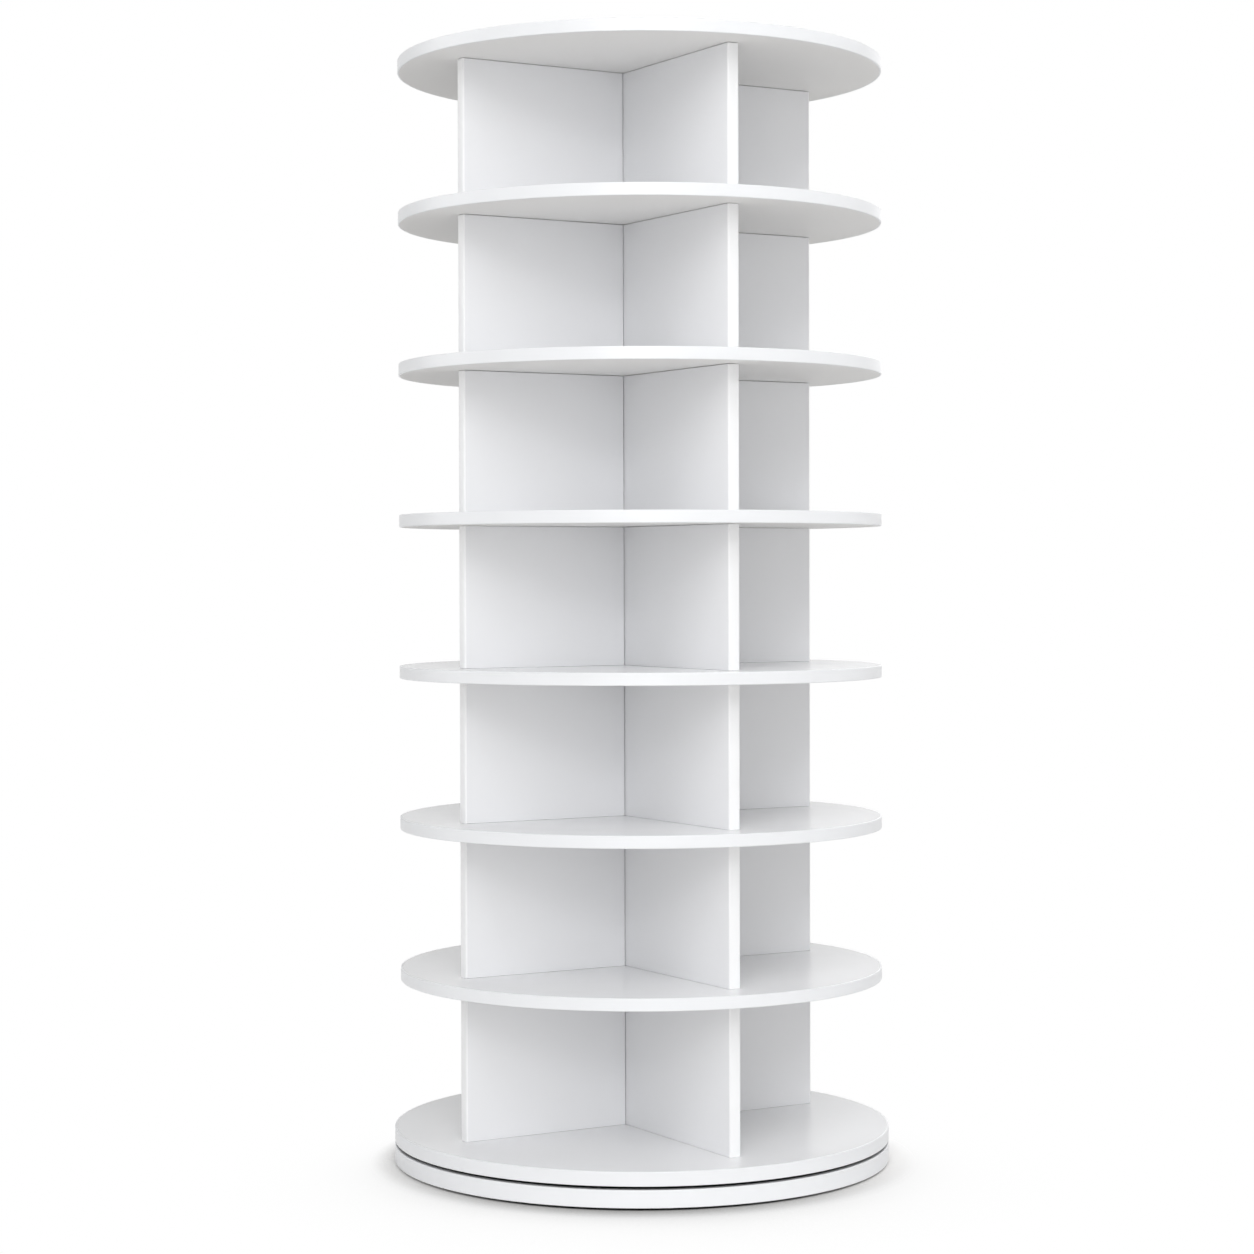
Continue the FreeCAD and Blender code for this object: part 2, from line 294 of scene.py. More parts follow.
class StageSettings(bpy.types.PropertyGroup):
    """Camera, lamps and floor."""

    camera_turn: FloatProperty(
        name="Camera turn", description="Angle of the camera round the tower, from its front",
        subtype="ANGLE", default=math.radians(-30.32))
    camera_distance: FloatProperty(
        name="Camera distance", description="Level distance from the camera to the tower's axis",
        unit="LENGTH", min=0.5, default=3.5979)
    camera_height: FloatProperty(
        name="Camera height", description="Height of the lens above the floor",
        unit="LENGTH", default=0.7295)
    camera_sideways: FloatProperty(
        name="Camera sideways", description="How far the camera stands to the right of the axis",
        unit="LENGTH", default=-0.0169)
    camera_tilt: FloatProperty(
        name="Camera tilt", description="How far the camera looks up",
        subtype="ANGLE", default=-0.0183)
    camera_roll: FloatProperty(
        name="Camera roll", description="How far the view leans to the left",
        subtype="ANGLE", default=0.0027)
    focal_length: FloatProperty(
        name="Focal length", description="Lens on a 36 mm wide frame",
        subtype="DISTANCE_CAMERA", min=10, max=300, default=82.73)
    floor_colour: FloatVectorProperty(
        name="Floor colour", description="Colour of the studio floor",
        size=3, min=0, max=1, subtype="COLOR", default=(0.9, 0.893, 0.882))
    floor_glow: FloatProperty(
        name="Floor glow", description="White added to the floor beside the tower, as it is seen",
        min=0, max=1, subtype="FACTOR", default=0.2)
    floor_radius: FloatProperty(
        name="Floor radius", description="Where the floor has faded to plain white",
        unit="LENGTH", min=0.3, default=0.34)
    shadow_reach: FloatProperty(
        name="Contact shadow", description="How far from the base its contact shadow reaches",
        unit="LENGTH", min=0.01, max=1, default=0.25)
    shadow_depth: FloatProperty(
        name="Contact shadow depth", description="How much the contact shadow darkens the floor",
        min=0, max=1, subtype="FACTOR", default=0.95)
    touch_reach: FloatProperty(
        name="Touch shadow", description="How far the dark line round the foot reaches",
        unit="LENGTH", min=0.005, max=0.2, default=0.045)
    touch_depth: FloatProperty(
        name="Touch shadow depth", description="How much the line round the foot darkens the floor",
        min=0, max=1, subtype="FACTOR", default=0.95)
    shadow_side: FloatProperty(
        name="Contact shadow side", description="Side of the tower on which its shadow is deepest",
        subtype="ANGLE", default=math.radians(-30))
    sky_strength: FloatProperty(
        name="Soft light", description="Strength of the even light from all round",
        min=0, max=5, default=0.24)
    lamp_distance: FloatProperty(
        name="Lamp distance", description="From the middle of the tower to every lamp",
        unit="LENGTH", min=1, default=12.0)
    lamp_size: FloatProperty(
        name="Lamp size", description="Side of the square softbox of every lamp",
        unit="LENGTH", min=0.1, default=7.2)


# ---- meshes ----


def circle(radius, segments):
    """Outline of a disc. At inset d it is the circle of radius less d, in even steps."""
    angles = np.arange(segments) * (2 * np.pi / segments)
    directions = np.stack([np.cos(angles), np.sin(angles)], axis=1)

    def outline(insets):
        return (radius - insets)[:, None, None] * directions

    return outline


def drilled_circle(radius, segments, still, hole, shift):
    """Outline of a disc that is drilled off its centre. Circles of radius still and more stay
    round the axis. Inside it their centres slide evenly along Y, to shift at radius hole."""
    plain = circle(radius, segments)

    def outline(insets):
        share = np.clip((still - (radius - insets)) / (still - hole), 0, 1)
        points = plain(insets)
        points[:, :, 1] += (share * shift)[:, None]
        return points

    return outline


def unit(vectors):
    """Rows of vectors, each divided by its length."""
    return vectors / np.linalg.norm(vectors, axis=1, keepdims=True)


def rounded_outline(corners, radii, steps):
    """Outline from right-angled corners, anticlockwise, each rounded by its own quarter circle.
    Between a corner's two sides, of directions a (back) and b (onwards), the points are
    corner + r (a + b) - r (b cos t + a sin t). At inset d each point moves in by d along
    (m + n) / (1 + m.n), where m and n are the outward normals of its two sides."""
    corners = np.asarray(corners, float)
    radii = np.asarray(radii, float)[:, None, None]
    back = unit(np.roll(corners, 1, axis=0) - corners)[:, None, :]
    onwards = unit(np.roll(corners, -1, axis=0) - corners)[:, None, :]
    turn = np.linspace(0, np.pi / 2, steps + 1)[None, :, None]
    curve = back + onwards - onwards * np.cos(turn) - back * np.sin(turn)
    arcs = corners[:, None, :] + radii * curve
    points = arcs.reshape(-1, 2)
    sides = unit(np.roll(points, -1, axis=0) - points)
    after = np.stack([sides[:, 1], -sides[:, 0]], axis=1)
    before = np.roll(after, 1, axis=0)
    miters = (before + after) / (1 + (before * after).sum(axis=1, keepdims=True))

    def outline(insets):
        return points - insets[:, None, None] * miters

    return outline


def rectangle(low, high):
    """Corners of a board seen from above, anticlockwise from low X, low Y."""
    return [(low[0], low[1]), (high[0], low[1]), (high[0], high[1]), (low[0], high[1])]


def housed_rectangle(low, high, front, rear):
    """Corners of a long divider seen from above, anticlockwise, with a housing in its front
    face and one in its rear face. Each housing is (low X, high X, Y of its bottom)."""
    return [(low[0], low[1]), (front[0], low[1]), (front[0], front[2]), (front[1], front[2]),
            (front[1], low[1]), (high[0], low[1]), (high[0], high[1]), (rear[1], high[1]),
            (rear[1], rear[2]), (rear[0], rear[2]), (rear[0], high[1]), (low[0], high[1])]


def rounded_edges(bottom, top, rounding, steps):
    """Profile of a board's edge as rows of (inset, height), from its underside to its upper
    face: a quarter circle at the bottom, the straight edge, and a quarter circle at the top.
    A row beside each quarter circle keeps the flat faces flat in the shading."""
    turn = np.linspace(0, np.pi / 2, steps + 1)
    beside = rounding * SHADING_ROW
    lower = np.stack([rounding * (1 - np.sin(turn)), bottom + rounding * (1 - np.cos(turn))], 1)
    upper = np.stack([rounding * (1 - np.cos(turn)), top - rounding * (1 - np.sin(turn))], 1)
    return np.concatenate([
        [[rounding + beside, bottom]], lower, [[0, bottom + rounding + beside]],
        [[0, top - rounding - beside]], upper, [[rounding + beside, top]]])


def band_joint(inset, face, depth):
    """Rows of (inset, height) of the fine V line where an edge band meets a face, from the
    inside out. depth is signed, and goes into the board."""
    half = GROOVE_SPREAD * abs(depth)
    return np.array([[inset + GROOVE_ROW * half, face], [inset + half, face],
                     [inset, face + depth], [inset - half, face]])


def row_quads(rows, around, looped=False):
    """Four-cornered faces between rows of points, each row a closed outline and the next one
    above it. Where looped, the last row is joined to the first."""
    here = np.arange(around)
    after = np.roll(here, -1)
    row = np.arange(rows if looped else rows - 1)[:, None] * around
    above = (row + around) % (rows * around)
    quads = np.stack([row + here, row + after, above + after, above + here], 2)
    return quads.reshape(-1, 4).tolist()


def closed_rows(grid, looped=False):
    """Points and faces of a closed solid from its rows of points. A flat face closes the first
    row and one the last, or they join each other where looped."""
    rows, around = grid.shape[:2]
    faces = row_quads(rows, around, looped)
    if not looped:
        here = np.arange(around)
        faces += [here[::-1].tolist(), ((rows - 1) * around + here).tolist()]
    return grid.reshape(-1, 3), faces


def stacked(outline, profile, looped=False):
    """Points and faces of a closed solid. Row v carries the outline, moved in by the profile's
    inset and lifted to its height."""
    flat = outline(profile[:, 0])
    heights = np.broadcast_to(profile[:, 1][:, None, None], flat.shape[:2] + (1,))
    return closed_rows(np.concatenate([flat, heights], axis=2), looped)


def new_piece(name, solid, body, node, coat):
    """The mesh of a smooth object at the origin, from its points and faces. It rides on a body,
    stands for a node and wears a finish in a material slot."""
    points, faces = solid
    mesh = bpy.data.meshes.new(name)
    mesh.from_pydata(points.tolist(), [], faces)
    mesh.shade_smooth()
    mesh.set_sharp_from_angle(angle=SHARP_EDGE)
    mesh.materials.append(finish(coat))
    piece = bpy.data.objects.new(name, mesh)
    bpy.context.scene.collection.objects.link(piece)
    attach(piece, body)
    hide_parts(node)
    return mesh


def new_board(name, solid, body, node):
    """The mesh of a new white board."""
    return new_piece(name, solid, body, node, "white_melamine")


def face_centres(mesh):
    """Middle of every face, as rows."""
    centres = np.empty(len(mesh.polygons) * 3)
    mesh.polygons.foreach_get("center", centres)
    return centres.reshape(-1, 3)


def cover_faces(mesh, chosen, coat):
    """Gives the chosen faces a finish of their own."""
    mesh.materials.append(finish(coat))
    kinds = np.zeros(len(mesh.polygons), np.int32)
    mesh.polygons.foreach_get("material_index", kinds)
    kinds[chosen] = len(mesh.materials) - 1
    mesh.polygons.foreach_set("material_index", kinds)


def finish_disc(mesh, radius, underside, boards):
    """The band round a disc and the matt sheet under it, whose warmer, darker colour is painted
    shade.
    """
    centres = face_centres(mesh)
    band = np.hypot(centres[:, 0], centres[:, 1]) > radius - boards.band_width
    cover_faces(mesh, band, "disc_band")
    # Painted shade: the flat underside inside the band gets the warmer, darker sheet.
    below = np.abs(centres[:, 2] - underside) < FLAT
    cover_faces(mesh, below & ~band, "shaded_underside_sheet")


def paint_gap_shade(mesh, height, radius):
    """Painted shade: a dark sheet on the flat faces at that height, inside that radius, where the
    turning gap lies in shade.
    """
    centres = face_centres(mesh)
    level = np.abs(centres[:, 2] - height) < FLAT
    inside = np.hypot(centres[:, 0], centres[:, 1]) < radius
    cover_faces(mesh, level & inside, "painted_gap_shade")


def sphere(radius, turns, steps):
    """Points and faces of a closed ball, a grid of turns u round the Z axis by steps v from the
    lower pole to the upper: radius times (sin v cos u, sin v sin u, -cos v), with a fan of
    triangles round each pole."""
    around = np.arange(turns) * (2 * np.pi / turns)
    up = np.arange(1, steps)[:, None] * (np.pi / steps)
    grid = np.stack([np.sin(up) * np.cos(around), np.sin(up) * np.sin(around),
                     np.repeat(-np.cos(up), turns, axis=1)], 2).reshape(-1, 3)
    here = np.arange(turns)
    after = np.roll(here, -1)
    last = len(grid) - turns
    foot = np.stack([after, here, np.full(turns, len(grid))], 1)
    head = np.stack([last + here, last + after, np.full(turns, len(grid) + 1)], 1)
    points = np.concatenate([grid, [[0, 0, -1], [0, 0, 1]]])
    return radius * points, row_quads(steps - 1, turns) + foot.tolist() + head.tolist()


def ring_places(radius, count, height, first=0.0):
    """Points evenly round the tower's axis at one height, the first at that angle."""
    turn = first + np.arange(count) * (2 * np.pi / count)
    return np.stack([radius * np.cos(turn), radius * np.sin(turn), np.full(count, height)], 1)


def spun(points, turns):
    """The points turned about the Z axis, once for every angle."""
    across = np.cos(turns)[:, None] * points[:, 0] - np.sin(turns)[:, None] * points[:, 1]
    along = np.sin(turns)[:, None] * points[:, 0] + np.cos(turns)[:, None] * points[:, 1]
    return np.stack([across, along, np.broadcast_to(points[:, 2], across.shape)], 2)


def copies(sets, faces):
    """Points and faces of several closed forms that share their faces, from each one's points."""
    starts = np.arange(len(sets))[:, None] * sets.shape[1]
    return sets.reshape(-1, 3), [(start + face).tolist() for start in starts for face in faces]


def screw_form(length, heading, hardware):
    """Points and faces of a countersunk screw, the middle of its head's face at the origin.
    A row lies at depth s under that face. The rows go from the floor of the recess over its
    mouth and the head's rim to the tip. Below the plain shank the radius at angle a is
    core + (shank - core) |2 frac(s / pitch - a / 2 pi) - 1| on an even core, and both shrink
    towards the tip. The recess is a cross: the lesser of reach / max(|cos a|, |sin a|) and
    half width / min(|cos a|, |sin a|). heading is 1 for a tip that points up, and -1 for one
    that points down, which is half a turn about X."""
    angles = np.arange(hardware.screw_segments) * (2 * np.pi / hardware.screw_segments)
    across = np.abs(np.stack([np.cos(angles), np.sin(angles)]))
    cross = np.minimum(hardware.recess_reach / across.max(axis=0),
                       hardware.recess_half_width / np.maximum(across.min(axis=0), LEAST))
    neck = hardware.head_radius - hardware.shank_radius
    start = length * (1 - hardware.thread_share)
    step = hardware.thread_pitch / THREAD_ROWS
    depths = np.arange(start, length, step)
    depths = np.append(depths, length)[:, None]
    taper = np.clip((length - depths) / hardware.tip_length, 0, 1)
    wave = np.abs(2 * np.mod(depths / hardware.thread_pitch - angles / (2 * np.pi), 1) - 1)
    thread = hardware.core_radius + (hardware.shank_radius - hardware.core_radius) * wave
    radii = hardware.tip_radius + (thread - hardware.tip_radius) * taper
    even = np.ones(len(angles))
    top_depths = np.array([hardware.recess_depth, 0, 0, neck, start - step])
    top_radii = np.stack([cross * RECESS_FLOOR, cross, even * hardware.head_radius,
                          even * hardware.shank_radius, even * hardware.shank_radius])
    radii = np.concatenate([top_radii, radii])
    depths = np.concatenate([top_depths, depths[:, 0]])[:, None] * even
    grid = np.stack([radii * np.cos(angles), radii * np.sin(angles), depths], 2)
    points, faces = closed_rows(grid)
    return points * (1, heading, heading), faces


def disc_profile(bottom, top, boards):
    """Profile of a banded disc, from the middle of its underside to that of its upper face."""
    edge = rounded_edges(bottom, top, boards.disc_rounding, boards.rounding_steps)
    lower = band_joint(boards.band_width, bottom, boards.band_groove)
    upper = band_joint(boards.band_width, top, -boards.band_groove)[::-1]
    return np.concatenate([lower, edge, upper])


def box_of(node):
    """Lowest and highest corner of a node as arrays."""
    low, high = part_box(node)
    return np.array(low), np.array(high)


# ---- materials ----


def add_node(tree, kind, **values):
    """A shader node with its properties set."""
    node = tree.nodes.new(kind)
    for key, value in values.items():
        setattr(node, key, value)
    return node


def new_group(name, inputs, outputs):
    """An empty node group with named sockets, and its input and output nodes."""
    tree = bpy.data.node_groups.new(name, "ShaderNodeTree")
    for socket, kind, default in inputs:
        made = tree.interface.new_socket(socket, in_out="INPUT", socket_type=kind)
        if default is not None:
            made.default_value = default
    for socket, kind in outputs:
        tree.interface.new_socket(socket, in_out="OUTPUT", socket_type=kind)
    return tree, tree.nodes.new("NodeGroupInput"), tree.nodes.new("NodeGroupOutput")


def feed(tree, socket, value):
    """Links a socket to another one, or sets it to a plain value."""
    if isinstance(value, bpy.types.NodeSocket):
        tree.links.new(value, socket)
    else:
        socket.default_value = value


def maths(tree, operation, *values):
    """The result of a Math node on sockets and plain numbers."""
    node = add_node(tree, "ShaderNodeMath", operation=operation)
    for socket, value in zip(node.inputs, values):
        feed(tree, socket, value)
    return node.outputs["Value"]


def scaled(tree, colour, factor):
    """A colour, as a socket or as three numbers, times the number of a socket."""
    node = add_node(tree, "ShaderNodeVectorMath", operation="SCALE")
    feed(tree, node.inputs[0], colour)
    feed(tree, node.inputs["Scale"], factor)
    return node.outputs["Vector"]


def noise(tree, vector, scale, detail):
    """A noise texture read at vector."""
    texture = add_node(tree, "ShaderNodeTexNoise")
    texture.inputs["Scale"].default_value = scale
    texture.inputs["Detail"].default_value = detail
    tree.links.new(vector, texture.inputs["Vector"])
    return texture.outputs["Fac"]


def ranged(tree, value, low, high):
    """A number from 0 to 1 spread between low and high, which may be sockets."""
    spread = add_node(tree, "ShaderNodeMapRange")
    feed(tree, spread.inputs["Value"], value)
    feed(tree, spread.inputs["To Min"], low)
    feed(tree, spread.inputs["To Max"], high)
    return spread.outputs["Result"]


def pearl_grain_group():
    """Pressed grain of a melamine or moulded face: fine pearls over a slow waviness."""
    tree, source, result = new_group(
        "pearl_grain",
        [("Vector", "NodeSocketVector", None), ("Pearl", "NodeSocketFloat", 1.0),
         ("Wave", "NodeSocketFloat", 1.0)],
        [("Height", "NodeSocketFloat")])
    pearls = noise(tree, source.outputs["Vector"], PEARL_SCALE, 1.0)
    waves = noise(tree, source.outputs["Vector"], WAVE_SCALE, 1.0)
    fine = maths(tree, "MULTIPLY", pearls, source.outputs["Pearl"])
    slow = maths(tree, "MULTIPLY", waves, source.outputs["Wave"])
    tree.links.new(maths(tree, "ADD", fine, slow), result.inputs["Height"])
    return tree


def handled_group():
    """Slow change of tone and gloss over a surface, as handling and wiping leave it."""
    tree, source, result = new_group(
        "handled_surface",
        [("Vector", "NodeSocketVector", None), ("Color", "NodeSocketColor", None),
         ("Tone", "NodeSocketFloat", TONE_CHANGE), ("Roughness", "NodeSocketFloat", 0.5),
         ("Gloss change", "NodeSocketFloat", GLOSS_CHANGE)],
        [("Color", "NodeSocketColor"), ("Roughness", "NodeSocketFloat")])
    clouds = noise(tree, source.outputs["Vector"], CLOUD_SCALE, 3.0)
    wipes = noise(tree, source.outputs["Vector"], WIPE_SCALE, 4.0)
    tone = ranged(tree, clouds, maths(tree, "SUBTRACT", 1.0, source.outputs["Tone"]), 1.0)
    shaded = scaled(tree, source.outputs["Color"], tone)
    tree.links.new(shaded, result.inputs["Color"])
    most = maths(tree, "ADD", source.outputs["Roughness"], source.outputs["Gloss change"])
    rough = ranged(tree, wipes, source.outputs["Roughness"], most)
    tree.links.new(rough, result.inputs["Roughness"])
    return tree


def placed_group(tree, name, make, vector, values):
    """The outputs of a shared node group, built the first time it is asked for, in a material
    that gives it its own values."""
    shared = bpy.data.node_groups.get(name) or make()
    group = add_node(tree, "ShaderNodeGroup", node_tree=shared)
    tree.links.new(vector, group.inputs["Vector"])
    for socket, value in values.items():
        group.inputs[socket].default_value = value
    return group.outputs


def finishes(scene):
    """Colour, roughness, metallic and specular level of every finish: the boards' melamine
    faces, the bands round the discs, the whiter band on the dividers' ends as painted light, the
    matt sheet under the discs with a warmer, darker colour as painted shade, the dark sheet on the
    two faces across the turning gap as painted shade, and the bearing, screws and pads."""
    boards, bearing = scene.shoe_tower_boards, scene.shoe_tower_bearing
    hardware = scene.shoe_tower_hardware
    return {
        "white_melamine": (boards.face_colour, boards.face_roughness, 0.0, 0.5),
        "disc_band": (boards.band_colour, boards.band_roughness, 0.0, 0.5),
        # Painted light on the dividers' outer ends.
        "painted_lit_end_band": (boards.lit_end_colour, boards.band_roughness, 0.0, 0.5),
        # Painted shade under the discs.
        "shaded_underside_sheet": (boards.underside_shade_colour, 0.55, 0.0, 0.25),
        # Painted shade in the turning gap.
        "painted_gap_shade": (boards.gap_shade_colour, 0.7, 0.0, 0.5),
        "turned_aluminium": (bearing.ring_colour, 0.3, 1.0, 0.5),
        "polished_steel": (bearing.ball_colour, 0.1, 1.0, 0.5),
        "moulded_plastic": (bearing.retainer_colour, 0.5, 0.0, 0.5),
        "zinc_plate": (hardware.steel_colour, 0.35, 1.0, 0.5),
        "pad_rubber": (hardware.pad_colour, 0.8, 0.0, 0.5)}


def finish(name):
    """The material of a finish, made the first time it is asked for: a Principled shader with
    the shared handling and grain groups on Object coordinates."""
    if name in bpy.data.materials:
        return bpy.data.materials[name]
    colour, roughness, metallic, specular = finishes(bpy.context.scene)[name]
    material = bpy.data.materials.new(name)
    material.use_nodes = True
    tree = material.node_tree
    shader = tree.nodes["Principled BSDF"]
    shader.inputs["Metallic"].default_value = metallic
    shader.inputs["Specular IOR Level"].default_value = specular
    place = add_node(tree, "ShaderNodeTexCoord").outputs["Object"]
    handled = placed_group(tree, "handled_surface", handled_group, place, {
        "Color": (*colour, 1), "Tone": TONE_CHANGE, "Roughness": roughness,
        "Gloss change": GLOSS_CHANGE})
    grain = placed_group(tree, "pearl_grain", pearl_grain_group, place, {
        "Pearl": 1.0, "Wave": 1.0})
    bump = add_node(tree, "ShaderNodeBump")
    bump.inputs["Distance"].default_value = GRAIN_DEPTH
    tree.links.new(handled["Color"], shader.inputs["Base Color"])
    tree.links.new(handled["Roughness"], shader.inputs["Roughness"])
    tree.links.new(grain["Height"], bump.inputs["Height"])
    tree.links.new(bump.outputs["Normal"], shader.inputs["Normal"])
    return material


# ---- operators: the pieces ----


class SHOETOWER_OT_base(bpy.types.Operator):
    """Builds the base disc with its bearing pocket"""

    bl_idname = "shoe_tower.base"
    bl_label = "Base disc"

    def execute(self, context):
        boards = context.scene.shoe_tower_boards
        bearing = context.scene.shoe_tower_bearing
        low, high = box_of("base_disc")
        ring_low, ring_high = box_of("bearing_outer_ring")
        radius, pocket = high[0], ring_high[0] + bearing.pocket_clearance
        hole, hole_place = bearing.access_hole / 2, -bearing.access_circle
        gap_shade_radius = radius - boards.gap_shade_margin
        edge = disc_profile(low[2], high[2], boards)
        under = [[radius - hole, low[2]], [radius - pocket, low[2]]]
        over = [[radius - gap_shade_radius, high[2]], [radius - pocket, high[2]],
                [radius - pocket, ring_low[2]], [radius - hole, ring_low[2]]]
        profile = np.concatenate([under, edge, over])
        outline = drilled_circle(radius, boards.disc_segments, pocket, hole, hole_place)
        board = new_board("base_board", stacked(outline, profile, True), "base", "base_disc")
        finish_disc(board, radius, low[2], boards)
        # Painted shade: inside the white ledge, the upper face is painted dark as the turning gap's
        # shade.
        paint_gap_shade(board, high[2], gap_shade_radius)
        return {"FINISHED"}


class SHOETOWER_OT_discs(bpy.types.Operator):
    """Builds the bottom disc, the shelves and the top disc"""

    bl_idname = "shoe_tower.discs"
    bl_label = "Discs"

    def execute(self, context):
        boards = context.scene.shoe_tower_boards
        for node in LEVELS:
            low, high = box_of(node)
            profile = disc_profile(low[2], high[2], boards)
            solid = stacked(circle(high[0], boards.disc_segments), profile)
            board = new_board(f"{node}_board", solid, "tower", node)
            finish_disc(board, high[0], low[2], boards)
            # Painted shade: the bottom disc's underside is painted dark too, as the turning gap's
            # shade.
            if node == LEVELS[0]:
                paint_gap_shade(board, low[2], high[0] - boards.band_width)
        return {"FINISHED"}


class SHOETOWER_OT_dividers(bpy.types.Operator):
    """Builds the dividers of every tier"""

    bl_idname = "shoe_tower.dividers"
    bl_label = "Dividers"

    def execute(self, context):
        boards = context.scene.shoe_tower_boards
        for tier, (below, above) in enumerate(zip(LEVELS, LEVELS[1:]), 1):
            floor = box_of(below)[1][2] + boards.foot_gap
            ceiling = box_of(above)[0][2] - boards.head_gap
            profile = rounded_edges(floor, ceiling, boards.joint_rounding, boards.rounding_steps)
            for kind, (corners, radii) in self.plans(tier, boards).items():
                node = f"{kind}_divider_{tier}"
                outline = rounded_outline(corners, radii, boards.rounding_steps)
                board = new_board(f"{node}_board", stacked(outline, profile), "tower", node)
                # Painted light: the faces at a divider's outer end get the whiter end band.
                out = np.abs(face_centres(board)[:, :2]).max(axis=1)
                end = np.abs(corners).max() - boards.end_rounding
                cover_faces(board, out > end, "painted_lit_end_band")
        return {"FINISHED"}

    def plans(self, tier, boards):
        """Corners and their radii, seen from above, of the three dividers of a tier. A half
        divider's inner end stands in a housing of the long one, with a hairline either side."""
        low, high = box_of(f"long_divider_{tier}")
        front_low, front_high = box_of(f"front_divider_{tier}")
        rear_low, rear_high = box_of(f"rear_divider_{tier}")
        slack = boards.housing_gap
        front = (front_low[0] - slack, front_high[0] + slack, front_high[1] + slack)
        rear = (rear_low[0] - slack, rear_high[0] + slack, rear_low[1] - slack)
        outer, mouth = boards.end_rounding, boards.mouth_rounding
        inner = boards.joint_rounding * HOUSING_CORNER
        housing = (mouth, inner, inner, mouth)
        return {
            "long": (housed_rectangle(low, high, front, rear),
                     (outer, *housing, outer, outer, *housing, outer)),
            "front": (rectangle(front_low, front_high), (outer, outer, inner, inner)),
            "rear": (rectangle(rear_low, rear_high), (inner, inner, outer, outer))}


class SHOETOWER_OT_bearing(bpy.types.Operator):
    """Puts true balls in the bearing and finishes its rings and retainer"""

    bl_idname = "shoe_tower.bearing"
    bl_label = "Bearing"

    def execute(self, context):
        bearing = context.scene.shoe_tower_bearing
        self.balls(bearing)
        paint = {"bearing_outer_ring": "turned_aluminium", "bearing_inner_ring": "turned_aluminium",
                 "ball_retainer": "moulded_plastic"}
        for node, coat in paint.items():
            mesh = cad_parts[node].data
            mesh.materials.clear()
            mesh.materials.append(finish(coat))
        return {"FINISHED"}

    def balls(self, bearing):
        """The balls, evenly round their circle, midway between the races."""
        low, high = box_of("bearing_balls")
        places = ring_places(bearing.ball_circle, bearing.ball_count, (low[2] + high[2]) / 2)
        points, faces = sphere(bearing.ball_diameter / 2, *BALL_GRID)
        solid = copies(places[:, None, :] + points, faces)
        new_piece("true_balls", solid, "ball_cage", "bearing_balls", "polished_steel")


class SHOETOWER_OT_hardware(bpy.types.Operator):
    """Builds the screws and the foot pads"""

    bl_idname = "shoe_tower.hardware"
    bl_label = "Screws and pads"

    def execute(self, context):
        hardware = context.scene.shoe_tower_hardware
        low, high = box_of("outer_ring_screws")
        places = ring_places(hardware.outer_screw_circle, hardware.ring_screw_count, high[2],
                             OUTER_SCREW_TURN)
        self.screws(hardware, "outer_ring_screws", "base", places, high[2] - low[2], -1)
        low, high = box_of("inner_ring_screws")
        places = ring_places(hardware.inner_screw_circle, hardware.ring_screw_count, low[2])
        self.screws(hardware, "inner_ring_screws", "tower", places, high[2] - low[2], 1)
        undersides = [box_of(level)[0][2] for level in LEVELS[:-1]]
        places = np.concatenate([ring_places(hardware.divider_screw_place, 2, height)
                                 for height in undersides])
        last = box_of("divider_screws")[1][2]
        self.screws(hardware, "divider_screws", "tower", places, last - undersides[-1], 1)
        self.pads(hardware)
        return {"FINISHED"}

    def screws(self, hardware, node, body, places, length, heading):
        """Screws of one length, the faces of their heads at these places."""
        points, faces = screw_form(length, heading, hardware)
        solid = copies(places[:, None, :] + points, faces)
        new_piece(f"threaded_{node}", solid, body, node, "zinc_plate")

    def pads(self, hardware):
        """Square pads with rounded corners, each turned to face the tower's axis."""
        low, high = box_of("foot_pads")
        middle, half = hardware.pad_circle, hardware.pad_side / 2
        corners = rectangle((middle - half, -half), (middle + half, half))
        outline = rounded_outline(corners, [hardware.pad_corner] * 4, PAD_CORNER_STEPS)
        profile = rounded_edges(low[2], high[2], hardware.pad_rounding, PAD_EDGE_STEPS)
        points, faces = stacked(outline, profile)
        turns = (np.arange(hardware.pad_count) + 0.5) * (2 * np.pi / hardware.pad_count)
        solid = copies(spun(points, turns), faces)
        new_piece("rounded_foot_pads", solid, "base", "foot_pads", "pad_rubber")


# ---- operator: the stage ----


def area_lamp(name, place, aim, size, power):
    """A square soft lamp at place, turned to aim."""
    light = bpy.data.lights.new(name, "AREA")
    light.shape = "SQUARE"
    light.size = size
    light.energy = power
    lamp = bpy.data.objects.new(name, light)
    bpy.context.scene.collection.objects.link(lamp)
    lamp.location = place
    lamp.rotation_mode = "QUATERNION"
    lamp.rotation_quaternion = (aim - place).to_track_quat("-Z", "Y")


def seen(tree):
    """1 where the camera, a reflection or glass looks at the surface, and 0 for other light."""
    path = add_node(tree, "ShaderNodeLightPath")
    most = path.outputs["Is Camera Ray"]
    for kind in ("Is Glossy Ray", "Is Transmission Ray"):
        most = maths(tree, "MAXIMUM", most, path.outputs[kind])
    return most


def covered(tree, reach):
    """How much of the room within reach over a point is filled: 0 in the open, 1 under cover."""
    contact = add_node(tree, "ShaderNodeAmbientOcclusion", samples=SHADOW_SAMPLES)
    contact.inputs["Distance"].default_value = reach
    return maths(tree, "SUBTRACT", 1.0, contact.outputs["AO"])


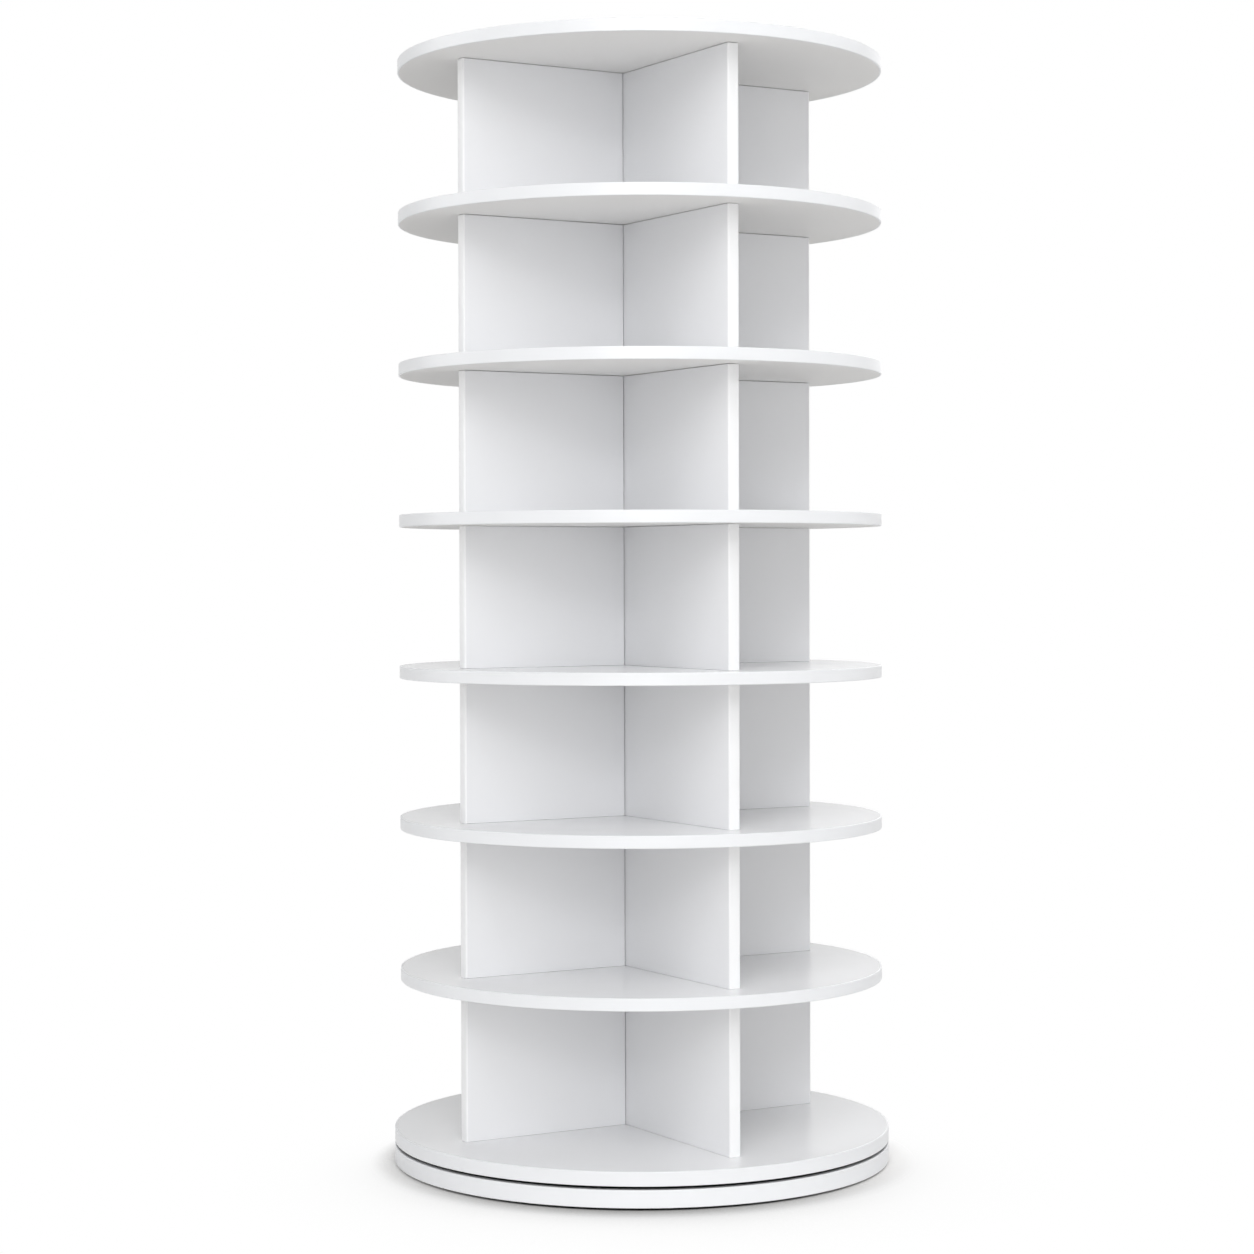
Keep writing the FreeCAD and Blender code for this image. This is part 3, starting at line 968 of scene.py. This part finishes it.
def contact_light(tree, place, stage):
    """The light that the tower's two contact shadows leave on the floor: the product of
    1 - covered * depth * side for the wide and the near one. side is ((1 + cos a) / 2) to the
    power of SHADOW_FALL, with a the angle round the axis from the shadow's deepest side."""
    outwards = add_node(tree, "ShaderNodeVectorMath", operation="NORMALIZE")
    tree.links.new(place, outwards.inputs[0])
    front = add_node(tree, "ShaderNodeVectorMath", operation="DOT_PRODUCT")
    tree.links.new(outwards.outputs["Vector"], front.inputs[0])
    deepest = stage.shadow_side
    front.inputs[1].default_value = (math.sin(deepest), -math.cos(deepest), 0)
    facing = maths(tree, "MULTIPLY_ADD", front.outputs["Value"], 0.5, 0.5)
    side = maths(tree, "POWER", facing, SHADOW_FALL)
    left = []
    for reach, depth in ((stage.shadow_reach, stage.shadow_depth),
                         (stage.touch_reach, stage.touch_depth)):
        shadow = maths(tree, "MULTIPLY", covered(tree, reach), maths(tree, "MULTIPLY", side, depth))
        left.append(maths(tree, "SUBTRACT", 1.0, shadow))
    return maths(tree, "MULTIPLY", *left)


def glow(tree, strength):
    """A white surface that shines with a strength from a socket."""
    emission = add_node(tree, "ShaderNodeEmission")
    tree.links.new(strength, emission.inputs["Strength"])
    return emission.outputs["Emission"]


def floor_material(stage):
    """A matt floor beside the tower, with its shadow, which fades to white further out. Where
    it is seen, the contact shadows darken both."""
    material = bpy.data.materials.new("studio_floor")
    material.use_nodes = True
    tree = material.node_tree
    tree.nodes.remove(tree.nodes["Principled BSDF"])
    sight = seen(tree)
    place = add_node(tree, "ShaderNodeTexCoord").outputs["Object"]
    light = ranged(tree, sight, 1.0, contact_light(tree, place, stage))
    matt = add_node(tree, "ShaderNodeBsdfDiffuse")
    tree.links.new(scaled(tree, stage.floor_colour, light), matt.inputs["Color"])
    lit = maths(tree, "MULTIPLY", sight, stage.floor_glow)
    beside = add_node(tree, "ShaderNodeAddShader")
    tree.links.new(matt.outputs["BSDF"], beside.inputs[0])
    tree.links.new(glow(tree, maths(tree, "MULTIPLY", lit, light)), beside.inputs[1])
    distance = add_node(tree, "ShaderNodeVectorMath", operation="LENGTH")
    tree.links.new(place, distance.inputs[0])
    fade = add_node(tree, "ShaderNodeMapRange", interpolation_type="SMOOTHSTEP")
    fade.inputs["From Min"].default_value = MODEL_BOX[1][0]
    fade.inputs["From Max"].default_value = stage.floor_radius
    tree.links.new(distance.outputs["Value"], fade.inputs["Value"])
    both = add_node(tree, "ShaderNodeMixShader")
    tree.links.new(maths(tree, "MULTIPLY", fade.outputs["Result"], sight), both.inputs["Fac"])
    tree.links.new(beside.outputs["Shader"], both.inputs[1])
    tree.links.new(glow(tree, light), both.inputs[2])
    tree.links.new(both.outputs["Shader"], tree.nodes["Material Output"].inputs["Surface"])
    return material


class SHOETOWER_OT_stage(bpy.types.Operator):
    """Sets up the camera, the soft lamps, the floor and the white surroundings"""

    bl_idname = "shoe_tower.stage"
    bl_label = "Stage"

    def execute(self, context):
        stage = context.scene.shoe_tower_stage
        self.camera(context, stage)
        self.surroundings(context, stage)
        self.floor(stage)
        self.lamps(stage)
        context.scene.view_settings.view_transform = "Standard"
        return {"FINISHED"}

    def camera(self, context, stage):
        """A camera turned round the tower's axis, tilted up and leaned by its own settings."""
        turn = Matrix.Rotation(stage.camera_turn, 3, "Z")
        ahead = Vector((0, math.cos(stage.camera_tilt), math.sin(stage.camera_tilt)))
        up = Vector((0, -math.sin(stage.camera_tilt), math.cos(stage.camera_tilt)))
        right = Vector((1, 0, 0))
        lean = Matrix.Rotation(stage.camera_roll, 3, ahead)
        axes = Matrix((turn @ lean @ right, turn @ lean @ up, turn @ -ahead)).transposed()
        lens = bpy.data.cameras.new("camera")
        lens.sensor_fit = "HORIZONTAL"
        lens.sensor_width = FRAME_WIDTH
        lens.lens = stage.focal_length
        camera = bpy.data.objects.new("camera", lens)
        context.scene.collection.objects.link(camera)
        place = Vector((stage.camera_sideways, -stage.camera_distance, stage.camera_height))
        camera.matrix_world = Matrix.Translation(turn @ place) @ axes.to_4x4()
        context.scene.camera = camera

    def surroundings(self, context, stage):
        """A world that is white where it is seen, and lights the tower softly from all round."""
        world = bpy.data.worlds.new("studio")
        world.use_nodes = True
        tree = world.node_tree
        background = tree.nodes["Background"]
        background.inputs["Color"].default_value = (1, 1, 1, 1)
        strength = ranged(tree, seen(tree), stage.sky_strength, 1.0)
        tree.links.new(strength, background.inputs["Strength"])
        context.scene.world = world

    def floor(self, stage):
        """A wide square floor at height 0."""
        mesh = bpy.data.meshes.new("floor")
        corners = rectangle((-FLOOR_HALF, -FLOOR_HALF), (FLOOR_HALF, FLOOR_HALF))
        mesh.from_pydata([(*corner, 0) for corner in corners], [], [(0, 1, 2, 3)])
        mesh.materials.append(floor_material(stage))
        floor = bpy.data.objects.new("floor", mesh)
        bpy.context.scene.collection.objects.link(floor)

    def lamps(self, stage):
        """Soft lamps on a sphere round the middle of the tower, all turned towards it."""
        middle = (MODEL_BOX[0] + MODEL_BOX[1]) / 2
        turn = Matrix.Rotation(stage.camera_turn, 3, "Z")
        for name, right, above, power in LAMPS:
            right, above = math.radians(right), math.radians(above)
            towards = Vector((math.sin(right) * math.cos(above), -math.cos(right) * math.cos(above),
                              math.sin(above)))
            place = middle + turn @ towards * stage.lamp_distance
            area_lamp(name, place, middle, stage.lamp_size, power)


# ---- panel and registration ----


class SHOETOWER_PT_panel(bpy.types.Panel):
    """Lists the tower's pieces and settings"""

    bl_idname = "SHOETOWER_PT_panel"
    bl_label = "Rotating shoe tower"
    bl_space_type = "VIEW_3D"
    bl_region_type = "UI"
    bl_category = "Shoe tower"

    def draw(self, context):
        for step in STEPS:
            self.layout.operator(step.bl_idname)
        for name in SETTINGS:
            settings = getattr(context.scene, name)
            column = self.layout.column()
            for key in settings.__annotations__:
                column.prop(settings, key)


SETTINGS = {"shoe_tower_boards": BoardSettings, "shoe_tower_bearing": BearingSettings,
            "shoe_tower_hardware": HardwareSettings, "shoe_tower_stage": StageSettings}
STEPS = (SHOETOWER_OT_stage, SHOETOWER_OT_base, SHOETOWER_OT_discs, SHOETOWER_OT_dividers,
         SHOETOWER_OT_bearing, SHOETOWER_OT_hardware)
CLASSES = (*SETTINGS.values(), *STEPS, SHOETOWER_PT_panel)


def register():
    for cls in CLASSES:
        bpy.utils.register_class(cls)
    for name, settings in SETTINGS.items():
        setattr(bpy.types.Scene, name, PointerProperty(type=settings))


def unregister():
    for name in SETTINGS:
        delattr(bpy.types.Scene, name)
    for cls in reversed(CLASSES):
        bpy.utils.unregister_class(cls)


def main():
    """Builds every piece in order."""
    register()
    bpy.ops.shoe_tower.stage()
    bpy.ops.shoe_tower.base()
    bpy.ops.shoe_tower.discs()
    bpy.ops.shoe_tower.dividers()
    bpy.ops.shoe_tower.bearing()
    bpy.ops.shoe_tower.hardware()


if __name__ == "__main__":
    main()
